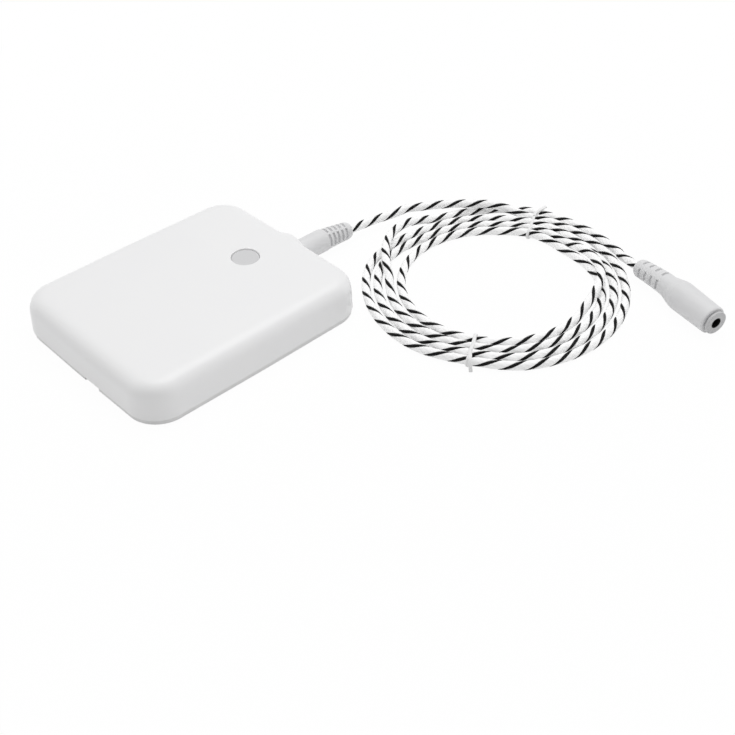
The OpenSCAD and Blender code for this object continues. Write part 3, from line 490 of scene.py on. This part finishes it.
def plan(reach, z):
    """Ring round the housing at a height: the points a given reach outwards from the corner centres and the
    lines that join them, with the sides bowed by a squared sine."""
    xy = plan_at + [body_x, 0] + (np.reshape(reach, (-1, 1)) + plan_bow) * plan_out
    return np.column_stack([xy, np.broadcast_to(z, len(xy))])


def hole_ring(r, z):
    """Ring about the button's hole, its points on the lines from the hole to the housing's outline."""
    way = plan(corner_r, 0)[:, :2] - hole_place
    way /= np.linalg.norm(way, axis=1, keepdims=True)
    return np.column_stack([hole_place + r * way, np.full(len(way), z)])


# The top edge turns from level to the wall's draft along its run, slowly at both ends.
tilt = (np.pi / 2 - draft) * smooth(np.linspace(0, 1, fillet_steps + 1))
fillet_out, fillet_down = (
    np.concatenate([[0], np.cumsum((v[1:] + v[:-1]) / 2)]) * fillet_run / fillet_steps
    for v in (np.cos(tilt), np.sin(tilt)))
fillet_z = shell_z1 - fillet_down[-1]
fillet_reach = corner_r - (fillet_z - shell_z0) * np.tan(draft) - fillet_out[-1]
rounding = np.linspace(0, np.pi / 2, round_points)
hole_edge = [hole_ring(hole_r + hole_round * (1 - np.cos(a)), shell_z1 - hole_round * (1 - np.sin(a)))
             for a in rounding]
flat = [hole_edge[-1] + f * (plan(fillet_reach, shell_z1) - hole_edge[-1])
        for f in (0.02, 0.1, 0.25, 0.4, 0.55, 0.7, 0.85, 0.95, 0.985)]
fillet = [plan(fillet_reach + out, shell_z1 - down) for out, down in zip(fillet_out, fillet_down)]
side_z = np.linspace(fillet_z, shell_z0 + lip_round, wall_rows)[1:]
side_rings = [plan(corner_r - (z - shell_z0) * np.tan(draft), z) for z in side_z]
lip = [plan(corner_r - lip_round * (1 - np.cos(a)), shell_z0 + lip_round * (1 - np.sin(a)))
       for a in rounding[1:]]
inner_reach = corner_r - wall_t
inside = [plan(inner_reach, z) for z in (shell_z0, inner_z, ceiling_z - inner_fillet)]
inside += [plan(inner_reach - inner_fillet * (1 - np.cos(a)), ceiling_z - inner_fillet * (1 - np.sin(a)))
           for a in np.linspace(0, np.pi / 2, inner_points)[1:]]
under_hole = hole_ring(hole_r, ceiling_z)
inside += [inside[-1] + f * (under_hole - inside[-1]) for f in (0.3, 0.6, 0.9, 1.0)]

# The boss is the larger, softly blended, of the wall's distance along x and a rounded disc's about the jack.
outer = np.stack(fillet + side_rings + lip)
off_axis = np.hypot(outer[..., 1] - jack_y, outer[..., 2] - jack_z)
past = np.clip((off_axis - boss_r + boss_round) / boss_round, 0, None)
disc_in = np.where(past < 1, 1 - np.sqrt(np.clip(1 - past ** 2, 0, 1)), 1 + boss_fall * (past - 1))
disc_x = boss_x - boss_round * disc_in
gap = np.clip(boss_blend - np.abs(outer[..., 0] - disc_x), 0, None) / boss_blend
raised = np.minimum(np.maximum(outer[..., 0], disc_x) + gap ** 2 * boss_blend / 4, boss_x)
outer[..., 0] = np.where((outer[..., 0] > 0) & (off_axis < 2 * boss_r), raised, outer[..., 0])
shell = np.concatenate([np.stack(hole_edge + flat), outer, np.stack(inside)])


def revolved(profile, base, axis=(0.0, 0.0, 1.0), count=64):
    """Rings of a turned shape: each profile point, a distance along the axis and a radius, swept round."""
    axis = np.array(axis)
    side, up = (np.eye(3)[0], np.eye(3)[1]) if abs(axis[2]) > 0.99 else square_to(axis)
    turn = np.linspace(0, 2 * np.pi, count, endpoint=False)
    round_it = np.cos(turn)[:, None] * side + np.sin(turn)[:, None] * up
    profile = np.asarray(profile)
    return np.asarray(base) + profile[:, :1, None] * axis + profile[:, 1:, None] * round_it


post_top = ceiling_z + post_sunk
post = [[post_z, post_r], [post_top, post_r], [post_top, post_bore_r], [post_z, post_bore_r]]
posts = [revolved(post, (x, y * s, 0), count=32) for x, y in post_xy for s in (1, -1)]

# White ABS: a clean near-white with a soft sheen and a grain too fine to see but for the sheen.
housing_abs = finish("white_abs", "#F8F8F8", "#F5F5F6", 0.36, 0.4 * MM)
housing = put_mesh("housing_shell", [shell] + posts, housing_abs, "housing", closed=True)

# The jack's hole is drilled through the boss and the wall.
drill_profile = [[drill_x0, pole_r], [drill_x0, jack_hole_r], [drill_x1, jack_hole_r], [drill_x1, pole_r]]
drill = put_mesh("jack_drill", [revolved(drill_profile, (0, jack_y, jack_z), (1, 0, 0))], housing_abs)
cut = housing.modifiers.new("jack_hole", "BOOLEAN")
cut.operation = "DIFFERENCE"
cut.solver = "EXACT"
cut.object = drill
drilled = bpy.data.meshes.new_from_object(housing.evaluated_get(bpy.context.evaluated_depsgraph_get()))
housing.modifiers.clear()
housing.data = drilled
bpy.data.objects.remove(drill)
drilled.set_sharp_from_angle(angle=crease_a)
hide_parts("top_shell")

# Button
# A round light grey ABS cap that stands just below the top in its hole, held up by the switch and kept in by
# a flange under the top. Its edge is rounded and its face is flat.
button_r, button_top, button_round, button_points = 5.1 * MM, 15.2 * MM, 0.3 * MM, 6
flange_r, flange_z0, flange_z1 = 6.2 * MM, 13.0 * MM, 13.6 * MM
button_edge = [[button_top - button_round * (1 - np.cos(a)), button_r - button_round * (1 - np.sin(a))]
               for a in np.linspace(0, np.pi / 2, button_points)]
button_profile = [[button_top, pole_r], [button_top, 0.9 * button_r], *button_edge, [flange_z1, button_r],
                  [flange_z1, flange_r], [flange_z0, flange_r], [flange_z0, pole_r]]

# Grey ABS: an even light grey, duller than the housing.
button_abs = finish("grey_abs", "#D8D8D9", "#D4D4D5", 0.5, 0.35 * MM)
button_rings = revolved(button_profile, (*hole_place, 0), count=96)
button = put_mesh("button_face", [button_rings], button_abs, "button")
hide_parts("button_cap")

# Bottom cover
# An ABS plate set in from the housing's edge, so that it shows as a shaded strip, whose pale grey is painted
# shade that darkens that strip further, with a skirt that stands up inside the housing except at the jack,
# and a notch on one side to lift it off by.
cover_z0, cover_z1, cover_inset, cover_round = 0.6 * MM, 2.4 * MM, 0.45 * MM, 0.3 * MM
skirt_h, skirt_t, skirt_gap, skirt_end_x = 2.5 * MM, 1.2 * MM, 0.3 * MM, 40.0 * MM
notch_y, notch_w, notch_in, notch_soft = -5.5 * MM, 7.4 * MM, 1.2 * MM, 0.5 * MM
pole_share = 0.0005
edge = plan(corner_r - cover_inset, 0)
notch = smooth(0.5 + (notch_w / 2 - np.abs(edge[:, 1] - notch_y)) / notch_soft) * (edge[:, 0] < 0)
at_jack = smooth(0.5 + (boss_r - np.abs(edge[:, 1])) / notch_soft) * (edge[:, 0] > skirt_end_x)
skirt = cover_z1 + skirt_h * (1 - at_jack)
cover_reach = corner_r - cover_inset - notch_in * notch
skirt_reach = corner_r - wall_t - skirt_gap
middle = np.array([body_x, 0, 0])
low = [plan(cover_reach - cover_round * (1 - np.sin(a)), cover_z0 + cover_round * (1 - np.cos(a)))
       for a in rounding]
high = [plan(cover_reach, cover_z1), plan(skirt_reach, cover_z1), plan(skirt_reach, skirt),
        plan(skirt_reach - skirt_t, skirt), plan(skirt_reach - skirt_t, cover_z1)]
bottom = [middle + (low[0] - middle) * [f, f, 1] for f in (pole_share, 0.3, 0.6, 0.9)]
ceiling = [middle + (high[-1] - middle) * [f, f, 1] for f in (0.9, 0.5, pole_share)]

# Pale grey: painted shade, a shade darker than the housing's ABS to darken the low strip, and duller.
cover_abs_painted_shade = finish("pale_grey_painted_shade", "#EAEAEA", "#E6E6E6", 0.5, 0.4 * MM)
cover = put_mesh("cover_plate", [np.stack(bottom + low + high + ceiling)], cover_abs_painted_shade, "cover")
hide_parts("bottom_cover")

# Feet
# Four soft grey rubber buttons, moulded with rounded edges and stuck in shallow seats near the corners of
# the cover. The sensor stands on them, a little off the floor.
foot_r, foot_h, foot_seat, foot_round = 4.0 * MM, 0.6 * MM, 0.5 * MM, 0.4 * MM
foot_top = foot_h + foot_seat
foot_edge = [[foot_round * (1 - np.cos(a)), foot_r - foot_round * (1 - np.sin(a))] for a in rounding]
foot_profile = [[0, pole_r], [0, foot_r - 2 * foot_round], *foot_edge, [foot_top, foot_r], [foot_top, pole_r]]
foot_places = [(body_x + s * corner_x, t * corner_y, 0) for s in (-1, 1) for t in (-1, 1)]

# Rubber: mid grey and dull, with a fine tooth.
foot_rubber = finish("grey_rubber", "#959595", "#8A8A8A", 0.85, 0.3 * MM)
foot_rings = [revolved(foot_profile, place, count=48) for place in foot_places]
feet = put_mesh("feet", foot_rings, foot_rubber, "cover")
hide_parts("rubber_feet")

# Plug
# A soft light grey PVC grip moulded over a 3.5 mm plug, round and plain by the housing and then a tapered
# strain relief with five rows of cut slots. The cord's weight bends the relief a little down and aside.
grip_x, grip_r, grip_l = 48.0 * MM, 4.45 * MM, 13.8 * MM
bend_l, bend_r0, bend_r1 = 13.0 * MM, 4.2 * MM, 3.3 * MM
bend_from, bend_power = 10.3 * MM, 1.5
bend_offset = np.array([0, -0.961, -0.907]) * MM
grip_round, step_l, end_r = 0.35 * MM, 0.5 * MM, 1.0 * MM
tip_l, tip_in = 2.4 * MM, 1.5 * MM
grip_rows, relief_rows, tip_rows, slope_step = 24, 130, 12, 0.01 * MM
plug_slots = (14.58 + 2.13 * np.arange(5)) * MM
slot_w, slot_depth, slot_soft, slot_end_a = 0.9 * MM, 0.9 * MM, 0.08 * MM, np.radians(3)
plug_slot_a, plug_slot_arc = np.radians(15), np.radians(74)


def plug_axis(t):
    """Centre line of the plug: straight along x, then bent aside by a power of the distance."""
    bent = np.clip((t - bend_from) / (grip_l + bend_l - bend_from), 0, None) ** bend_power
    return np.array([grip_x, jack_y, jack_z]) + t[:, None] * [1, 0, 0] + bent[:, None] * bend_offset


def sleeve(axis, t, r, rows, row_a, arc, count=144):
    """Rings of a soft sleeve about a bent axis, each square to it, less the slots: rows of cuts across, four
    to a row, each an even depth with steep ends."""
    side, up = square_to(axis(t + slope_step) - axis(t - slope_step))
    turn = np.linspace(0, 2 * np.pi, count, endpoint=False)
    across = np.clip(0.5 + (slot_w / 2 - np.abs(t[:, None] - rows)) / slot_soft, 0, 1).sum(1)
    off = (turn - row_a + np.pi / 4) % (np.pi / 2) - np.pi / 4
    along = np.clip(0.5 + (arc / 2 - np.abs(off)) / slot_end_a, 0, 1)
    radii = (r[:, None] - slot_depth * across[:, None] * along)[..., None]
    return (axis(t)[:, None] + radii * np.cos(turn)[None, :, None] * side[:, None]
            + radii * np.sin(turn)[None, :, None] * up[:, None])


plug_l = grip_l + bend_l
t = np.concatenate([np.linspace(grip_round, grip_l, grip_rows),
                    np.linspace(grip_l, plug_l - tip_l, relief_rows)[1:]])
r = np.where(t <= grip_l, grip_r, bend_r0 + (bend_r1 - bend_r0) * (t - grip_l) / bend_l)
r = r - np.where(t <= grip_l, (grip_r - bend_r0) * smooth((t - grip_l + step_l) / step_l), 0)
ease = np.linspace(0, 1, tip_rows)[1:]
tip_t = plug_l - tip_l * (1 - np.sin(np.pi / 2 * ease))
tip_r = bend_r0 + (bend_r1 - bend_r0) * (tip_t - grip_l) / bend_l - tip_in * (1 - np.cos(np.pi / 2 * ease))
edge_t = grip_round * (1 - np.cos(rounding[1:-1]))
edge_r = grip_r - grip_round * (1 - np.sin(rounding[1:-1]))
t = np.concatenate([[0, 0], edge_t, t, tip_t, [plug_l]])
r = np.concatenate([[end_r, grip_r - grip_round], edge_r, r, tip_r, [end_r]])

# Soft PVC: a pale cool grey, dull, with a faint bloom.
grip_pvc = finish("soft_pvc", "#E6E6E7", "#E1E1E2", 0.55, 0.3 * MM)
plug_rings = sleeve(plug_axis, t, r, plug_slots, plug_slot_a, plug_slot_arc)
plug = put_mesh("plug_sleeve_moulding", [plug_rings], grip_pvc, "cable")
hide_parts("plug_grip")

# Extension socket
# The same soft PVC moulded over a socket for the next cord: a strain relief with four rows of slots, a flare
# with faint turned rings and a barrel that narrows a little to its front. The relief droops to the cord.
socket_p, socket_z = np.array([135.738, -94.052, 0.0]) * MM, 5.6 * MM
socket_heading = np.array([-0.258819, -0.965926, 0.0])
socket_l, relief_l, flare_l = 40.0 * MM, 15.6 * MM, 8.0 * MM
relief_r0, relief_r1, socket_r, front_r = 3.5 * MM, 4.12 * MM, 5.6 * MM, 5.2 * MM
droop, droop_power = 1.63 * MM, 1.5
flare_rows, barrel_rows = 80, 20
front_round, pocket_r, pocket_l = 0.7 * MM, 3.7 * MM, 15.5 * MM
socket_slots = (4.15 + 3.28 * np.arange(4)) * MM
socket_slot_a, socket_slot_arc = np.radians(6), np.radians(54)
ring_lines, ring_depth, ring_soft = np.array([18.8, 20.1, 21.4, 22.7]) * MM, 0.07 * MM, 0.2 * MM


def socket_axis(t):
    """Centre line of the socket: level along its heading, drooping to the cord by a power of the distance."""
    down = droop * (np.clip(relief_l - t, 0, None) / relief_l) ** droop_power
    return socket_p + t[:, None] * socket_heading + (socket_z - down)[:, None] * [0, 0, 1]


def socket_radius(t):
    """Radius along the socket: an even taper, a smooth step up to the barrel, an even taper to the front."""
    barrel_t = relief_l + flare_l
    relief = relief_r0 + (relief_r1 - relief_r0) * np.clip(t / relief_l, 0, 1)
    flare = (socket_r - relief_r1) * smooth((t - relief_l) / flare_l)
    barrel = (front_r - socket_r) * np.clip((t - barrel_t) / (socket_l - barrel_t), 0, 1)
    return relief + flare + barrel


t = np.concatenate([np.linspace(tip_l, relief_l, relief_rows),
                    np.linspace(relief_l, relief_l + flare_l, flare_rows)[1:],
                    np.linspace(relief_l + flare_l, socket_l - front_round, barrel_rows)[1:]])
r = socket_radius(t) - ring_depth * np.exp(-((t[:, None] - ring_lines) / ring_soft) ** 2).sum(1)
tip_t = tip_l * (1 - np.sin(np.pi / 2 * ease))[::-1]
tip_r = socket_radius(tip_t) - tip_in * (1 - np.cos(np.pi / 2 * ease))[::-1]
front_t = socket_l - front_round * (1 - np.sin(rounding[1:]))
front = socket_radius(front_t) - front_round * (1 - np.cos(rounding[1:]))
t = np.concatenate([[0], tip_t, t, front_t, [socket_l, socket_l - pocket_l, socket_l - pocket_l]])
r = np.concatenate([[end_r], tip_r, r, front, [pocket_r, pocket_r, pole_r]])
socket_rings = sleeve(socket_axis, t, r, socket_slots, socket_slot_a, socket_slot_arc)
socket = put_mesh("socket_moulding", [socket_rings], grip_pvc, "cable")
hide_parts("socket_grip")

# Socket insert
# A turned grey ABS insert pushed into the barrel's front: its disc stands proud of the barrel over a narrower
# neck, so that a dark groove runs round behind it, and its bore takes a 3.5 mm plug.
disc_t0, disc_t1, disc_r, disc_round = 40.7 * MM, 41.6 * MM, 4.4 * MM, 0.25 * MM
neck_r, body_r, bore_r, bore_l = 3.6 * MM, 2.9 * MM, 1.8 * MM, 15.0 * MM
lining_t, lining_back, lining_in, neck_in = 0.25 * MM, 0.3 * MM, 0.1 * MM, 2.0 * MM
lined_r, bore_end, neck_end = bore_r + lining_t, disc_t1 - bore_l, socket_l - neck_in
disc_edge = [[disc_t1 - disc_round * (1 - np.cos(a)), disc_r - disc_round * (1 - np.sin(a))]
             for a in rounding]
insert_profile = [[bore_end, lined_r], [disc_t1 - lining_in, lined_r], *disc_edge, [disc_t0, disc_r],
                  [disc_t0, neck_r], [neck_end, neck_r], [neck_end, body_r], [bore_end, body_r]]
insert_base = socket_p + [0, 0, socket_z]

# Grey ABS of the insert: a shade darker than the grip, with a dull turned face.
insert_abs = finish("insert_abs", "#CDCDCE", "#C8C8C9", 0.5, 0.3 * MM)
insert_rings = revolved(insert_profile, insert_base, socket_heading, 96)
insert = put_mesh("insert_disc", [insert_rings], insert_abs, "cable", closed=True)
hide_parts("socket_insert")

# Bore lining
# The black ABS contact carrier pressed in behind the disc. It lines the bore from just inside the disc's face
# to the bore's end, and its black also stands for the bore's shade: painted shade.
lining_end = bore_end - lining_back
lining_profile = [[lining_end, pole_r], [lining_end, lined_r], [disc_t1 - lining_in, lined_r],
                  [disc_t1 - lining_in, bore_r], [bore_end, bore_r], [bore_end, pole_r]]

# Black ABS: dull, so that the hole looks black, partly as painted shade.
black_abs = finish("black_abs", "#0E0E0E", "#090909", 0.6, 0.3 * MM)
lining_rings = revolved(lining_profile, insert_base, socket_heading, 64)
lining = put_mesh("insert_lining_painted_shade", [lining_rings], black_abs, "cable")

# Inner parts
# The board with its switch, lamp, radio and jack, the cells in their tray, the screws and the seal are the
# model's own solids, and take these finishes. They are seen when the cover is off or the plug is out.
run_width, run_edge = 2.38 * MM, (0.36, 0.42)
mottle_size, band_x, band_soft = 4.0 * MM, -9.2 * MM, 0.2 * MM

# Metals: bright nickel, duller drawn aluminium and warm brass, each a little uneven. The lamp's epoxy is
# cream and glossy, and the seal's rubber near black and dull.
nickel = finish("nickel_plate", "#C9C8C4", "#B4B3AF", 0.3, 0.5 * MM, 1.0)
aluminium = finish("drawn_aluminium", "#C6C7CA", "#B3B4B8", 0.35, 0.4 * MM, 1.0)
brass = finish("plated_brass", "#DDC184", "#C9A968", 0.28, 0.4 * MM, 1.0)
lamp_epoxy = finish("lens_epoxy", "#EFECD9", "#E4E0C8", 0.25, 0.6 * MM)
seal_rubber = finish("seal_rubber", "#3A3A3A", "#303030", 0.8, 0.3 * MM)

# Lacquered laminate: green with slightly paler copper runs in square steps, drawn wider to show.
laminate = bpy.data.materials.new("board_laminate")
laminate.use_nodes = True
tree = laminate.node_tree
tree.nodes.clear()
place = add(tree, "ShaderNodeTexCoord").outputs["Object"]
runs = add(tree, "ShaderNodeTexVoronoi", {
    "Vector": place, "Scale": 1 / run_width}, distance="CHEBYCHEV", feature="F1")
copper = add(tree, "ShaderNodeMapRange", {
    "Value": runs.outputs["Distance"], "From Min": run_edge[0], "From Max": run_edge[1]})
tone = add(tree, "ShaderNodeMix", {
    0: copper.outputs[0], 6: linear("#2F7A45"), 7: linear("#1F5E35")}, data_type="RGBA")
shader = add(tree, "ShaderNodeBsdfPrincipled", {"Base Color": tone.outputs[2], "Roughness": 0.35})
add(tree, "ShaderNodeOutputMaterial", {"Surface": shader.outputs[0]})

# Cell film: dark blue-grey with a wide copper-coloured band at one end of the cell.
cell_film = bpy.data.materials.new("cell_film")
cell_film.use_nodes = True
tree = cell_film.node_tree
tree.nodes.clear()
place = add(tree, "ShaderNodeTexCoord").outputs["Object"]
length_x = add(tree, "ShaderNodeSeparateXYZ", {0: place}).outputs["X"]
band = add(tree, "ShaderNodeMapRange", {
    "Value": length_x, "From Min": band_x, "From Max": band_x + band_soft})
mottle = add(tree, "ShaderNodeTexNoise", {"Vector": place, "Scale": 1 / mottle_size})
dark = add(tree, "ShaderNodeMix", {
    0: mottle.outputs[0], 6: linear("#3A4350"), 7: linear("#333B47")}, data_type="RGBA")
tone = add(tree, "ShaderNodeMix", {
    0: band.outputs[0], 6: dark.outputs[2], 7: linear("#B98A5E")}, data_type="RGBA")
shader = add(tree, "ShaderNodeBsdfPrincipled", {
    "Base Color": tone.outputs[2], "Roughness": 0.3, "Metallic": 0.4})
add(tree, "ShaderNodeOutputMaterial", {"Surface": shader.outputs[0]})

finishes = {
    nickel: ("shield_can", "board_screws", "tray_screws", "far_bridges", "near_bridge", "terminals"),
    aluminium: ("storage_capacitor",),
    brass: ("jack_pins", "plug_sleeve", "plug_tip", "socket_contact"),
    lamp_epoxy: ("status_led",),
    seal_rubber: ("cover_seal",),
    laminate: ("circuit_board", "radio_board"),
    cell_film: ("battery_1", "battery_2", "battery_3", "battery_4"),
    black_abs: ("switch_body", "switch_plunger", "control_chip", "jack_body", "plug_insulator"),
    housing_abs: ("battery_tray",),
}
for material, nodes in finishes.items():
    for node in nodes:
        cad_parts[node].material_slots[0].material = material
